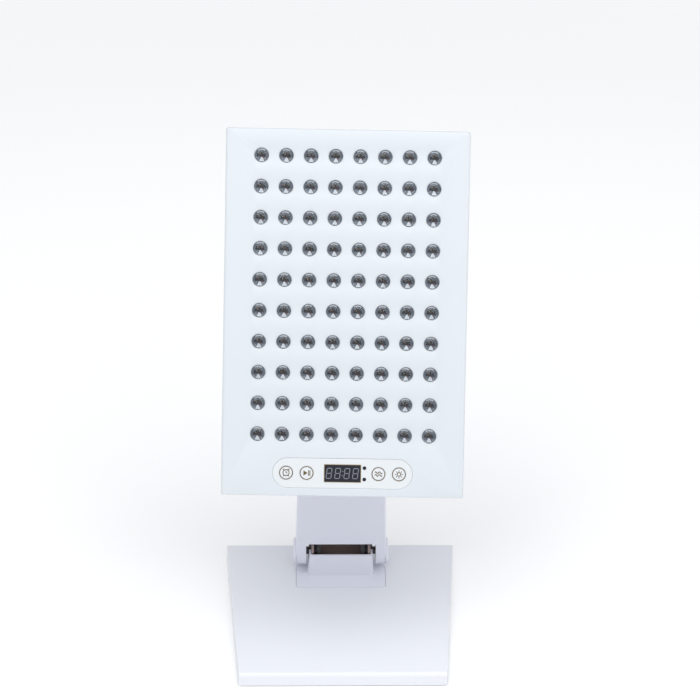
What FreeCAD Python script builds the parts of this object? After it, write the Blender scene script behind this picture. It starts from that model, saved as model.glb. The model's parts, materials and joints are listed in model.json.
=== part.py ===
import FreeCAD, Part
import math
import os
import re
import Sketcher

# A red light therapy lamp: a flat panel of lenses on a folding desk stand.
# Millimetres. X is to the right, Y to the back and Z up, with the origin at the centre of the
# base's underside. Every driving size is a cell of the sheet, and every other size is a formula.

SIZES = [
    # Head panel, seen from its front
    ("panel_width", 200.0),
    ("panel_height", 301.6),
    ("panel_depth", 50.0),
    ("panel_wall", 2.5),
    ("side_bend_radius", 2.4),
    ("rear_cover_depth", 12.0),
    ("rear_edge_radius", 3.0),
    ("panel_tilt", 29.6),
    ("panel_swivel", 1.0),
    # Lenses and the light engine behind them
    ("lens_columns", 8),
    ("lens_rows", 10),
    ("lens_pitch_across", 20.2),
    ("lens_pitch_up", 25.4),
    ("lens_field_rise", 14.5),
    ("lens_foot_radius", 5.6),
    ("lens_tip_radius", 4.2),
    ("lens_proud", 1.6),
    ("lens_sides", 8),
    ("lens_hole_sides", 12),
    ("lens_hole_radius", 5.9),
    ("lens_hole_bevel", 0.7),
    ("led_board_setback", 6.0),
    ("led_board_margin", 13.0),
    ("board_thickness", 1.6),
    ("heat_sink_base", 3.0),
    ("heat_sink_margin", 5.0),
    ("fin_height", 12.0),
    ("fin_thickness", 1.6),
    ("fin_count", 16),
    ("housing_boss", 7.0),
    # Control strip below the lenses
    ("strip_width", 115.0),
    ("strip_height", 24.5),
    ("strip_drop", 131.6),
    ("strip_thickness", 0.5),
    ("strip_recess", 0.7),
    ("strip_ledge", 4.0),
    ("display_width", 30.7),
    ("display_height", 15.0),
    ("key_radius", 5.9),
    ("key_travel", 0.4),
    ("key_height", 2.0),
    ("inner_key_place", 29.6),
    ("outer_key_place", 46.5),
    ("indicator_radius", 1.5),
    ("indicator_place", 18.0),
    ("indicator_spread", 4.7),
    ("switch_side", 6.0),
    ("slide_fit", 0.1),
    # Fans, grilles and mains parts on the back
    ("fan_side", 80.0),
    ("fan_thickness", 15.0),
    ("fan_bore_radius", 37.5),
    ("fan_hub_radius", 16.0),
    ("fan_tip_gap", 1.2),
    ("blade_count", 7),
    ("blade_pitch", 38.0),
    ("blade_thickness", 1.4),
    ("upper_fan_rise", 82.0),
    ("lower_fan_drop", 72.0),
    ("grille_radius", 36.0),
    ("grille_slots", 9),
    ("grille_slot_width", 3.4),
    ("supply_width", 42.0),
    ("supply_height", 150.0),
    ("supply_thickness", 18.0),
    ("mains_drop", 130.0),
    ("mains_place", 42.0),
    ("inlet_width", 24.6),
    ("inlet_height", 16.8),
    ("inlet_depth", 15.0),
    ("inlet_rim", 3.0),
    ("mains_flange", 1.6),
    ("rocker_width", 15.0),
    ("rocker_length", 11.0),
    ("rocker_thickness", 6.0),
    ("rocker_swing", 12.0),
    # Arm
    ("arm_length", 258.5),
    ("arm_thickness", 24.0),
    ("arm_foot_width", 80.3),
    ("arm_head_width", 70.0),
    ("arm_wall", 2.6),
    ("arm_edge_bevel", 1.1),
    ("arm_cover_fit", 0.15),
    ("notch_rise", 15.9),
    ("notch_corner", 2.2),
    ("arm_bracket_reach", 42.0),
    ("arm_bracket_depth", 16.0),
    # Friction hinges, whose stacks are laid out inwards from each ear
    ("base_ear_place", 31.2),
    ("head_ear_place", 26.0),
    ("shaft_radius", 3.5),
    ("shaft_head_radius", 5.5),
    ("shaft_head_height", 1.8),
    ("hinge_fit", 0.05),
    ("steel_thickness", 2.2),
    ("arm_steel_thickness", 2.5),
    ("bracket_ear_radius", 9.0),
    ("bracket_web_rise", 3.0),
    ("washer_radius", 7.6),
    ("washer_thickness", 1.0),
    ("spring_radius", 6.2),
    ("spring_pack", 1.6),
    ("nut_across", 10.0),
    ("nut_height", 3.6),
    ("shaft_tail", 0.6),
    ("cap_radius", 11.7),
    ("cap_height", 2.4),
    ("cap_chamfer", 1.4),
    ("cap_plug_radius", 6.8),
    ("cap_plug_height", 1.0),
    # Knuckle cups around the steel brackets
    ("cup_side_gap", 1.5),
    ("cup_half_depth", 14.6),
    ("cup_rim_rise", 4.2),
    ("cup_corner", 3.6),
    ("cup_draft", 3.6),
    ("cup_wall", 1.7),
    ("cup_slot_gap", 0.6),
    # Swivel between the head hinge and the panel
    ("head_standoff", 24.0),
    ("swivel_gap", 0.3),
    ("swivel_flange_radius", 36.0),
    ("swivel_flange", 4.0),
    ("pivot_radius", 5.0),
    ("pivot_head_radius", 8.0),
    ("pivot_nut_height", 3.4),
    ("mount_plate_width", 90.0),
    ("mount_plate_height", 56.0),
    ("mount_plate", 2.0),
    # Base
    ("base_depth", 180.2),
    ("base_back_width", 206.4),
    ("base_front_width", 179.2),
    ("base_height", 12.6),
    ("base_wall", 2.0),
    ("base_front_radius", 3.5),
    ("base_edge_radius", 0.9),
    ("pad_thickness", 1.0),
    ("pad_inset", 2.5),
    ("bottom_cover", 2.0),
    ("bottom_cover_fit", 0.2),
    ("weight_margin", 5.0),
    ("hinge_back_inset", 29.9),
    ("hinge_rise", 17.4),
    ("hinge_cover_width", 79.8),
    ("hinge_cover_reach", 31.4),
    ("hinge_cover_corner", 2.6),
    ("seam", 0.3),
    # Fasteners
    ("screw_head_radius", 2.8),
    ("screw_head_height", 1.2),
]

FORMULAS = {
    "back_z": "head_standoff",
    "seam_z": "head_standoff + rear_cover_depth",
    "front_z": "head_standoff + panel_depth",
    "face_inner_z": "front_z - panel_wall",
    "rear_inner_z": "back_z + panel_wall",
    "led_z": "front_z - led_board_setback",
    "sink_z": "led_z - board_thickness",
    "led_board_width": "panel_width - 2 * panel_wall - 2 * led_board_margin",
    "led_board_height": "(lens_rows - 1) * lens_pitch_up + lens_pitch_up",
    "sink_width": "panel_width - 2 * panel_wall - 2 * heat_sink_margin",
    "sink_height": "led_board_height",
    "boss_reach": "led_board_width / 2 + 1",
    "strip_z": "front_z - strip_recess",
    "strip_window_width": "strip_width - 2 * strip_ledge",
    "strip_window_height": "strip_height - 2 * strip_ledge",
    "key_top_z": "strip_z + strip_thickness",
    "key_foot_z": "key_top_z - key_height",
    "fan_z": "rear_inner_z",
    "base_top": "pad_thickness + base_height",
    "hinge_y": "base_depth / 2 - hinge_back_inset",
    "hinge_z": "base_top + hinge_rise",
    "head_z": "hinge_z + arm_length",
    "arm_radius": "arm_thickness / 2",
    "arm_cavity_start": "notch_rise + arm_wall",
    "head_rise": "head_standoff - swivel_gap - swivel_flange",
    "base_ear_outer": "arm_foot_width / 2",
    "head_ear_outer": "arm_head_width / 2",
}

doc = FreeCAD.newDocument("desk_therapy_lamp")
sheet = doc.addObject("Spreadsheet::Sheet", "Sizes")
for row, (alias, number) in enumerate(SIZES, start=1):
    sheet.set("A%d" % row, alias)
    sheet.set("B%d" % row, str(number))
    sheet.setAlias("B%d" % row, alias)
doc.recompute()

ALIASES = {alias for alias, number in SIZES}
WORD = re.compile(r"[a-z]+(?:_[a-z]+)*")
parts = {}


def bound(formula):
    """Write a formula's names out as cells of the sheet."""

    def cell(match):
        word = match.group(0)
        if word in ALIASES:
            return "Sizes." + word
        if word in FORMULAS:
            return "(" + bound(FORMULAS[word]) + ")"
        return word

    return WORD.sub(cell, str(formula))


def bind(thing, prop, formula):
    thing.setExpression(prop, bound(formula))


def size(formula):
    """The value of a formula, for shapes that are worked out in code."""
    return float(sheet.evalExpression(bound(formula)))


def place(thing, x, y, z, turn=None):
    if turn is not None:
        thing.Placement = FreeCAD.Placement(FreeCAD.Vector(), turn)
    bind(thing, "Placement.Base.x", x)
    bind(thing, "Placement.Base.y", y)
    bind(thing, "Placement.Base.z", z)
    return thing


def box(x, y, z, length, width, height):
    """A block from its lowest corner."""
    block = doc.addObject("Part::Box", "Block")
    bind(block, "Length", length)
    bind(block, "Width", width)
    bind(block, "Height", height)
    return place(block, x, y, z)


def slab(width, height, low, high, x="0", y="0"):
    """A block centred on x and y, between two levels."""
    corner_x = "%s - (%s) / 2" % (x, width)
    corner_y = "%s - (%s) / 2" % (y, height)
    return box(corner_x, corner_y, low, width, height, "(%s) - (%s)" % (high, low))


def prism(sides, radius, low, high, x="0", y="0", flats=False):
    """An upright prism between two levels, whose corners, or flats, lie at the radius."""
    column = doc.addObject("Part::Prism", "Prism")
    column.Polygon = sides
    bind(column, "Circumradius", "(%s) / cos(180 / %d)" % (radius, sides) if flats else radius)
    bind(column, "Height", "(%s) - (%s)" % (high, low))
    return place(column, x, y, low)


def post(radius, low, high, x="0", y="0"):
    """An upright cylinder between two levels."""
    cylinder = doc.addObject("Part::Cylinder", "Post")
    bind(cylinder, "Radius", radius)
    bind(cylinder, "Height", "(%s) - (%s)" % (high, low))
    return place(cylinder, x, y, low)


ALONG_X = FreeCAD.Rotation(FreeCAD.Vector(0, 1, 0), 90)
ALONG_Y = FreeCAD.Rotation(FreeCAD.Vector(1, 0, 0), -90)


def rod(radius, start, end, y="0", side=1):
    """A cylinder along X, from start to end on the right side or mirrored on the left."""
    cylinder = doc.addObject("Part::Cylinder", "Rod")
    bind(cylinder, "Radius", radius)
    bind(cylinder, "Height", "(%s) - (%s)" % (end, start))
    x = start if side > 0 else "-(%s)" % end
    return place(cylinder, x, y, "0", ALONG_X)


def side_prism(sides, radius, start, end, y="0", side=1, flats=False):
    """The same along X, from start to end on the right side or mirrored on the left."""
    column = prism(sides, radius, start, end, flats=flats)
    x = start if side > 0 else "-(%s)" % end
    return place(column, x, y, "0", ALONG_X)


def side_block(start, end, y, z, width, height, side):
    """A block on one side, from start to end across."""
    x = start if side > 0 else "-(%s)" % end
    return box(x, y, z, "(%s) - (%s)" % (end, start), width, height)


def fuse(*pieces):
    union = doc.addObject("Part::MultiFuse", "Union")
    union.Shapes = list(pieces)
    return union


def cut(base, *tools):
    difference = doc.addObject("Part::Cut", "Difference")
    difference.Base = base
    difference.Tool = tools[0] if len(tools) == 1 else fuse(*tools)
    return difference


def common(base, tool):
    overlap = doc.addObject("Part::Common", "Overlap")
    overlap.Base = base
    overlap.Tool = tool
    return overlap


def group(*pieces):
    """Separate solids that share one name."""
    compound = doc.addObject("Part::Compound", "Group")
    compound.Links = list(pieces)
    return compound


def finish(name, thing, frame=FreeCAD.Placement()):
    """Name a sub-part and set it in its frame."""
    if thing.TypeId in ("Part::Box", "Part::Cylinder", "Part::Prism"):
        thing = group(thing)
    thing.Label = name
    thing.Placement = frame
    parts[name] = thing
    return thing


def new_body(name):
    return doc.addObject("PartDesign::Body", name)


def sketch_in(body, role, level="0"):
    plane = [item for item in body.Origin.OriginFeatures if item.Role == role][0]
    sketch = body.newObject("Sketcher::SketchObject", "Outline")
    sketch.AttachmentSupport = [(plane, "")]
    sketch.MapMode = "FlatFace"
    bind(sketch, "AttachmentOffset.Base.z", level)
    return sketch


def bind_point(sketch, edge, end, x, y):
    """Hold one end of an edge at two formulas, counted from the sketch's origin."""
    for kind, formula in (("DistanceX", x), ("DistanceY", y)):
        number = sketch.addConstraint(Sketcher.Constraint(kind, -1, 1, edge, end, size(formula)))
        bind(sketch, "Constraints[%d]" % number, formula)


def polygon(sketch, points):
    """A closed outline of straight edges, each corner held by two formulas."""
    corners = [FreeCAD.Vector(size(x), size(y), 0) for x, y in points]
    first = sketch.GeometryCount
    for place_in_row, corner in enumerate(corners):
        after = corners[(place_in_row + 1) % len(corners)]
        sketch.addGeometry(Part.LineSegment(corner, after))
    for place_in_row, (x, y) in enumerate(points):
        edge = first + place_in_row
        following = first + (place_in_row + 1) % len(points)
        sketch.addConstraint(Sketcher.Constraint("Coincident", edge, 2, following, 1))
        bind_point(sketch, edge, 1, x, y)


def rectangle(sketch, width, height, x="0", y="0"):
    left, right = "%s - (%s) / 2" % (x, width), "%s + (%s) / 2" % (x, width)
    low, high = "%s - (%s) / 2" % (y, height), "%s + (%s) / 2" % (y, height)
    polygon(sketch, [(left, low), (right, low), (right, high), (left, high)])


def rounded_rectangle(sketch, width, height, radius, x="0", y="0"):
    """Four corner arcs, each held by its centre and its two ends, and the four sides between."""
    first = sketch.GeometryCount
    corners = []
    for turn, (sign_x, sign_y) in enumerate([(1, 1), (-1, 1), (-1, -1), (1, -1)]):
        centre_x = "%s + %d * ((%s) / 2 - (%s))" % (x, sign_x, width, radius)
        centre_y = "%s + %d * ((%s) / 2 - (%s))" % (y, sign_y, height, radius)
        edge_x = "%s + %d * (%s) / 2" % (x, sign_x, width)
        edge_y = "%s + %d * (%s) / 2" % (y, sign_y, height)
        start = (edge_x, centre_y) if turn % 2 == 0 else (centre_x, edge_y)
        corners.append((centre_x, centre_y, start))
        centre = FreeCAD.Vector(size(centre_x), size(centre_y), 0)
        circle = Part.Circle(centre, FreeCAD.Vector(0, 0, 1), size(radius))
        sketch.addGeometry(Part.ArcOfCircle(circle, turn * math.pi / 2, (turn + 1) * math.pi / 2))
    for turn in range(4):
        start = sketch.getPoint(first + turn, 2)
        end = sketch.getPoint(first + (turn + 1) % 4, 1)
        sketch.addGeometry(Part.LineSegment(start, end))
    for turn, (centre_x, centre_y, start) in enumerate(corners):
        arc, line = first + turn, first + 4 + turn
        sketch.addConstraint(Sketcher.Constraint("Coincident", arc, 2, line, 1))
        sketch.addConstraint(Sketcher.Constraint("Coincident", line, 2, first + (turn + 1) % 4, 1))
        bind_point(sketch, arc, 3, centre_x, centre_y)
        bind_point(sketch, arc, 1, *start)
        kind, formula = ("DistanceX", centre_x) if turn % 2 == 0 else ("DistanceY", centre_y)
        number = sketch.addConstraint(Sketcher.Constraint(kind, -1, 1, arc, 2, size(formula)))
        bind(sketch, "Constraints[%d]" % number, formula)


def regular_polygon(sketch, sides, radius):
    """A closed outline of equal sides about the origin, each corner held by two formulas."""
    corners = []
    for corner in range(sides):
        turn = 360 * (corner + 0.5) / sides
        corners.append(("(%s) * cos(%s)" % (radius, turn), "(%s) * sin(%s)" % (radius, turn)))
    polygon(sketch, corners)


def pad(body, sketch, length, back=False, taper="0"):
    feature = body.newObject("PartDesign::Pad", "Pad")
    feature.Profile = sketch
    bind(feature, "Length", length)
    feature.Reversed = back
    bind(feature, "TaperAngle", taper)
    return feature


def pocket(body, sketch, depth, back=False):
    feature = body.newObject("PartDesign::Pocket", "Pocket")
    feature.Profile = sketch
    bind(feature, "Length", depth)
    feature.Reversed = back
    return feature


def chosen_edges(body, chosen):
    """The names of the edges of the body's tip that the test chooses."""
    doc.recompute()
    edges = enumerate(body.Tip.Shape.Edges, start=1)
    return (body.Tip, ["Edge%d" % number for number, edge in edges if chosen(edge)])


def round_edges(body, radius, chosen):
    base = chosen_edges(body, chosen)
    fillet = body.newObject("PartDesign::Fillet", "Rounding")
    fillet.Base = base
    bind(fillet, "Radius", radius)


def bevel_edges(body, reach, chosen):
    base = chosen_edges(body, chosen)
    chamfer = body.newObject("PartDesign::Chamfer", "Bevel")
    chamfer.Base = base
    bind(chamfer, "Size", reach)


def box_of(edge):
    return edge.BoundBox


def near(first, second):
    return abs(first - second) < 0.01


# Frames: the head, the arm and the knuckle cups are each laid out flat and then set in place.
# The head's X is to the right, Y up the panel and Z out of its face, from the head hinge's axis.

UPRIGHT = FreeCAD.Rotation(FreeCAD.Vector(1, 0, 0), 90)
LEAN = FreeCAD.Rotation(FreeCAD.Vector(1, 0, 0), -size("panel_tilt"))
SWIVEL = FreeCAD.Rotation(FreeCAD.Vector(0, 1, 0), size("panel_swivel"))
TURNED = FreeCAD.Rotation(FreeCAD.Vector(1, 0, 0), 180)

HEAD_AXIS = FreeCAD.Vector(0, size("hinge_y"), size("head_z"))
BASE_AXIS = FreeCAD.Vector(0, size("hinge_y"), size("hinge_z"))
PANEL_FRAME = FreeCAD.Placement(HEAD_AXIS, LEAN * SWIVEL * UPRIGHT)
YOKE_FRAME = FreeCAD.Placement(HEAD_AXIS, LEAN * UPRIGHT * TURNED)
ARM_FRAME = FreeCAD.Placement(BASE_AXIS, UPRIGHT)
BASE_HINGE_FRAME = FreeCAD.Placement(BASE_AXIS, FreeCAD.Rotation())


# Panel: front housing, a box with bent sides, open at the back

def lens_places():
    """The centres of the lens field, row by row."""
    across, up = size("lens_pitch_across"), size("lens_pitch_up")
    columns, rows = int(size("lens_columns")), int(size("lens_rows"))
    rise = size("lens_field_rise")
    for row_number in range(rows):
        for column in range(columns):
            x = (column - (columns - 1) / 2) * across
            y = rise + (row_number - (rows - 1) / 2) * up
            yield x, y


def corner_ring(sides, radius, x, y, level):
    """A closed outline of equal sides whose corners lie at the radius."""
    turns = [2 * math.pi * (corner + 0.5) / sides for corner in range(sides + 1)]
    corners = [(x + radius * math.cos(turn), y + radius * math.sin(turn)) for turn in turns]
    return Part.makePolygon([FreeCAD.Vector(along, up, level) for along, up in corners])


def lens_hole_tools():
    """A bevelled plug for each hole in the face, wider at the front."""
    sides = int(size("lens_hole_sides"))
    radius, bevel = size("lens_hole_radius"), size("lens_hole_bevel")
    low, high = size("face_inner_z"), size("front_z")
    spare = 0.5
    slope = bevel / (high - low)
    widen = 1 / math.cos(math.pi / sides)
    narrow = (radius - spare * slope) * widen
    wide = (radius + bevel + spare * slope) * widen
    plugs = []
    for x, y in lens_places():
        inner = corner_ring(sides, narrow, x, y, low - spare)
        outer = corner_ring(sides, wide, x, y, high + spare)
        plugs.append(Part.makeLoft([inner, outer], True, True))
    tool = doc.addObject("Part::Feature", "LensHoleTools")
    tool.Shape = Part.makeCompound(plugs)
    return tool


def front_housing():
    body = new_body("FrontShell")
    outline = sketch_in(body, "XY_Plane", "seam_z")
    rectangle(outline, "panel_width", "panel_height")
    pad(body, outline, "front_z - seam_z")

    def side_bend(edge):
        span = box_of(edge)
        at_front = near(span.ZMin, size("front_z")) and near(span.ZMax, size("front_z"))
        return at_front and near(span.XMin, span.XMax)

    round_edges(body, "side_bend_radius", side_bend)
    inside = sketch_in(body, "XY_Plane", "seam_z")
    rectangle(inside, "panel_width - 2 * panel_wall", "panel_height - 2 * panel_wall")
    pocket(body, inside, "face_inner_z - seam_z", back=True)
    strip = sketch_in(body, "XY_Plane", "front_z")
    width = "strip_width + 2 * slide_fit"
    height = "strip_height + 2 * slide_fit"
    rounded_rectangle(strip, width, height, "(%s) / 2 - 0.001" % height, y="-strip_drop")
    pocket(body, strip, "strip_recess")
    window = sketch_in(body, "XY_Plane", "front_z")
    rectangle(window, "strip_window_width", "strip_window_height", y="-strip_drop")
    pocket(body, window, "panel_wall + 1")

    bosses = []
    for sign_x in (1, -1):
        for sign_y in (1, -1):
            x = "%d * (boss_reach + housing_boss / 2)" % sign_x
            y = "lens_field_rise + %d * (sink_height / 2 - housing_boss / 2)" % sign_y
            bosses.append(slab("housing_boss", "housing_boss", "sink_z", "face_inner_z", x, y))
        x = "%d * (strip_width / 2 - strip_ledge + 2.5)" % sign_x
        bosses.append(slab("3", "16", "led_z", "face_inner_z", x, "-strip_drop"))
    return finish("front_housing", cut(fuse(body, *bosses), lens_hole_tools()), PANEL_FRAME)


def lens_array():
    """Each clear lens stands on the board and looks out of its own hole."""
    foot, tip = size("lens_foot_radius"), size("lens_tip_radius")
    low, high = size("led_z"), size("front_z + lens_proud")
    sides = int(size("lens_sides"))
    lenses = []
    for x, y in lens_places():
        rings = [corner_ring(sides, foot, x, y, low), corner_ring(sides, tip, x, y, high)]
        lenses.append(Part.makeLoft(rings, True, True))
    array = doc.addObject("Part::Feature", "LensField")
    array.Shape = Part.makeCompound(lenses)
    return finish("lens_array", array, PANEL_FRAME)


def light_engine():
    board = slab("led_board_width", "led_board_height", "sink_z", "led_z", y="lens_field_rise")
    finish("led_board", board, PANEL_FRAME)
    plate = slab("sink_width", "sink_height", "sink_z - heat_sink_base", "sink_z", y="lens_field_rise")
    fins = []
    count = int(size("fin_count"))
    for fin in range(count):
        x = "(%d / %d - 0.5) * (sink_width - fin_thickness)" % (fin, count - 1)
        low = "sink_z - heat_sink_base - fin_height"
        fins.append(slab("fin_thickness", "sink_height", low, "sink_z - heat_sink_base", x, "lens_field_rise"))
    finish("heat_sink", fuse(plate, *fins), PANEL_FRAME)


# Panel: control strip, display, keys and their board

KEYS = [
    ("timer_key", "-outer_key_place"),
    ("start_key", "-inner_key_place"),
    ("mode_key", "inner_key_place"),
    ("light_key", "outer_key_place"),
]


def control_strip():
    body = new_body("Strip")
    outline = sketch_in(body, "XY_Plane", "strip_z")
    rounded_rectangle(outline, "strip_width", "strip_height", "strip_height / 2 - 0.001", y="-strip_drop")
    pad(body, outline, "strip_thickness")
    window = sketch_in(body, "XY_Plane", "strip_z")
    rectangle(window, "display_width + 2 * slide_fit", "display_height + 2 * slide_fit", y="-strip_drop")
    pocket(body, window, "strip_thickness", back=True)
    holes = []
    for name, x in KEYS:
        reach = "key_radius + slide_fit"
        holes.append(prism(16, reach, "strip_z - 1", "front_z + 1", x, "-strip_drop", flats=True))
    lights = []
    for sign in (1, -1):
        y = "%d * indicator_spread - strip_drop" % sign
        reach = "indicator_radius + slide_fit"
        holes.append(prism(8, reach, "strip_z - 1", "front_z + 1", "indicator_place", y, flats=True))
        lights.append(prism(8, "indicator_radius", "led_z", "key_top_z", "indicator_place", y))
    finish("control_strip", cut(body, *holes), PANEL_FRAME)
    finish("indicator_lights", group(*lights), PANEL_FRAME)

    switches = []
    for name, x in KEYS:
        key = prism(16, "key_radius", "key_foot_z", "key_top_z", x, "-strip_drop")
        finish(name, key, PANEL_FRAME)
        top = "key_foot_z - key_travel - 0.05"
        switches.append(slab("switch_side", "switch_side", "led_z", top, x, "-strip_drop"))
    finish("key_switches", group(*switches), PANEL_FRAME)
    display = slab("display_width", "display_height", "led_z", "key_top_z", y="-strip_drop")
    finish("display_module", display, PANEL_FRAME)
    width = "strip_window_width + 12"
    board = slab(width, "strip_window_height + 3", "sink_z", "led_z", y="-strip_drop")
    finish("control_board", board, PANEL_FRAME)


# Panel: rear cover with its grilles, fans and mains parts

FANS = [("upper_fan", "upper_fan_rise"), ("lower_fan", "-lower_fan_drop")]


def rear_cover():
    body = new_body("RearShell")
    outline = sketch_in(body, "XY_Plane", "back_z")
    rectangle(outline, "panel_width", "panel_height")
    pad(body, outline, "rear_cover_depth")

    def rim(edge):
        span = box_of(edge)
        return near(span.ZMin, size("back_z")) and near(span.ZMax, size("back_z"))

    round_edges(body, "rear_edge_radius", rim)
    inside = sketch_in(body, "XY_Plane", "rear_inner_z")
    rectangle(inside, "panel_width - 2 * panel_wall", "panel_height - 2 * panel_wall")
    pocket(body, inside, "rear_cover_depth", back=True)
    slots = sketch_in(body, "XY_Plane", "back_z")
    count = int(size("grille_slots"))
    for fan, centre in FANS:
        for slot in range(count):
            rise = "(%d / %d - 1) * (grille_radius - grille_slot_width)" % (2 * slot, count - 1)
            width = "2 * sqrt(grille_radius * grille_radius - (%s) * (%s))" % (rise, rise)
            rectangle(slots, width, "grille_slot_width", y="%s + %s" % (centre, rise))
    for sign, width, height in (
        (1, "inlet_width + 2 * inlet_rim", "inlet_height + 2 * inlet_rim"),
        (-1, "rocker_width + 2 * inlet_rim", "rocker_length + 2 * inlet_rim"),
    ):
        rectangle(slots, width, height, x="%d * mains_place" % sign, y="-mains_drop")
    pocket(body, slots, "panel_wall + 1", back=True)
    hole = prism(20, "pivot_radius + slide_fit", "back_z - 1", "rear_inner_z + 1", flats=True)
    return finish("rear_cover", cut(body, hole), PANEL_FRAME)


def fan(name, centre):
    frame = slab("fan_side", "fan_side", "fan_z", "fan_z + fan_thickness", y=centre)
    top = "fan_z + fan_thickness + 1"
    bore = prism(28, "fan_bore_radius", "fan_z - 1", top, y=centre, flats=True)
    seat = prism(16, "fan_hub_radius", "fan_z", "fan_z + 2", y=centre)
    stay_width = "fan_bore_radius * 2 + 1"
    stays = [
        slab(stay_width, "3", "fan_z", "fan_z + 2", y=centre),
        slab("3", stay_width, "fan_z", "fan_z + 2", y=centre),
    ]
    finish(name + "_frame", fuse(cut(frame, bore), seat, *stays), PANEL_FRAME)

    low, high = "fan_z + 2.3", "fan_z + fan_thickness - 1"
    hub = prism(16, "fan_hub_radius", low, high, y=centre)
    count = int(size("blade_count"))
    pitch = FreeCAD.Rotation(FreeCAD.Vector(1, 0, 0), size("blade_pitch"))
    middle = FreeCAD.Vector(0, size(centre), size("(%s + %s) / 2" % (low, high)))
    blades = []
    for blade in range(count):
        fin = doc.addObject("Part::Box", "Blade")
        bind(fin, "Length", "fan_bore_radius - fan_tip_gap - fan_hub_radius + 2")
        bind(fin, "Width", "fan_thickness - 1")
        bind(fin, "Height", "blade_thickness")
        spoke = FreeCAD.Rotation(FreeCAD.Vector(0, 0, 1), 360 * blade / count)
        root = FreeCAD.Vector(
            size("fan_hub_radius - 2"), -size("(fan_thickness - 1) / 2"), -size("blade_thickness / 2")
        )
        local = FreeCAD.Placement(FreeCAD.Vector(), pitch) * FreeCAD.Placement(root, FreeCAD.Rotation())
        fin.Placement = FreeCAD.Placement(middle, spoke) * local
        blades.append(fin)
    finish(name + "_rotor", fuse(hub, *blades), PANEL_FRAME)


def mains_parts():
    place_x, place_y = "mains_place", "-mains_drop"
    width, height = "inlet_width + 2 * inlet_rim", "inlet_height + 2 * inlet_rim"
    depth_z = "back_z + inlet_depth + 3"
    core = slab(width + " - 2 * slide_fit", height + " - 2 * slide_fit", "back_z", depth_z, place_x, place_y)
    flange = slab(width + " + 5", height + " + 5", "back_z - mains_flange", "back_z", place_x, place_y)
    socket = slab(
        "inlet_width", "inlet_height", "back_z - mains_flange - 1", "back_z + inlet_depth", place_x, place_y
    )
    pins = []
    for offset_x, offset_y in ((-7, 2), (0, -2), (7, 2)):
        x = "%s + %d" % (place_x, offset_x)
        y = "%s + %d" % (place_y, offset_y)
        pins.append(slab("2", "4", "back_z + 4", "back_z + inlet_depth + 1", x, y))
    finish("mains_inlet", fuse(cut(fuse(core, flange), socket), *pins), PANEL_FRAME)

    place_x = "-mains_place"
    width, height = "rocker_width + 2 * inlet_rim", "rocker_length + 2 * inlet_rim"
    core = slab(width + " - 2 * slide_fit", height + " - 2 * slide_fit", "back_z", "back_z + 14", place_x, place_y)
    flange = slab(width + " + 4", height + " + 4", "back_z - mains_flange", "back_z", place_x, place_y)
    well = slab(
        "rocker_width + 0.6", "rocker_length + 2", "back_z - 3", "back_z + 9", place_x, place_y
    )
    finish("rocker_frame", cut(fuse(core, flange), well), PANEL_FRAME)
    rest = FreeCAD.Rotation(FreeCAD.Vector(1, 0, 0), -size("rocker_swing / 2"))
    pivot = FreeCAD.Vector(-size("mains_place"), -size("mains_drop"), size("back_z") + 3)
    body = new_body("Rocker")
    side = sketch_in(body, "YZ_Plane", "-rocker_width / 2")
    half = "(rocker_length / 2)"
    outline = [
        ("-" + half, "3"), ("-" + half, "-rocker_thickness + 1"),
        ("0", "-rocker_thickness + 2.2"), (half, "-rocker_thickness + 1"), (half, "3"),
    ]
    polygon(side, outline)
    pad(body, side, "rocker_width")
    rocker_frame = PANEL_FRAME * FreeCAD.Placement(pivot, rest)
    finish("power_rocker", body, rocker_frame)

    x = "panel_width / 2 - panel_wall - 3 - supply_width / 2"
    supply = slab("supply_width", "supply_height", "rear_inner_z", "rear_inner_z + supply_thickness", x, "10")
    finish("power_supply", supply, PANEL_FRAME)


def swivel_parts():
    plate = slab("mount_plate_width", "mount_plate_height", "rear_inner_z", "rear_inner_z + mount_plate")
    top = "rear_inner_z + mount_plate"
    hole = prism(20, "pivot_radius + slide_fit", "rear_inner_z - 1", top + " + 1", flats=True)
    finish("swivel_mount_plate", cut(plate, hole), PANEL_FRAME)
    foot_top = "head_rise - steel_thickness"
    nut_low = "%s - 0.3 - pivot_nut_height" % foot_top
    shank = post("pivot_radius", nut_low + " - 0.8", top)
    head = prism(12, "pivot_head_radius", top, top + " + 3")
    finish("swivel_pivot", fuse(shank, head), PANEL_FRAME)
    nut_high = nut_low + " + pivot_nut_height"
    nut = prism(6, "pivot_head_radius", nut_low, nut_high)
    bore = prism(20, "pivot_radius", nut_low + " - 1", nut_high + " + 1", flats=True)
    finish("swivel_nut", cut(nut, bore), PANEL_FRAME)


# Friction hinges. In a hinge's frame its axis runs along X through the origin,
# the cup opens towards +Z and its foot lies at minus its rise.

HINGES = {
    "base": ("base_ear_place", "hinge_rise", "-(hinge_rise + base_wall)"),
    "head": ("head_ear_place", "head_rise", "-(head_rise - steel_thickness)"),
}


def cup_form(ear, rise, shrink, corner=None):
    """The drafted block of a knuckle cup, or of the hollow inside it."""
    body = new_body("CupForm")
    foot = sketch_in(body, "XY_Plane", "-(%s)" % rise)
    width = "2 * (%s - cup_side_gap - %s)" % (ear, shrink)
    depth = "2 * (cup_half_depth - %s)" % shrink
    if corner is None:
        rectangle(foot, width, depth)
    else:
        rounded_rectangle(foot, width, depth, corner)
    pad(body, foot, "%s + cup_rim_rise + %s" % (rise, shrink), taper="-cup_draft")
    return body


def knuckle_cup(ear, rise):
    walls = cut(cup_form(ear, rise, "0", "cup_corner"), cup_form(ear, rise, "cup_wall"))
    slots = []
    reach = "(shaft_radius + cup_slot_gap)"
    for side in (1, -1):
        start = "%s - 6" % ear
        slots.append(side_block(start, ear, "-" + reach, "-" + reach, "2 * " + reach, "20", side))
    return cut(walls, *slots)


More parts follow.
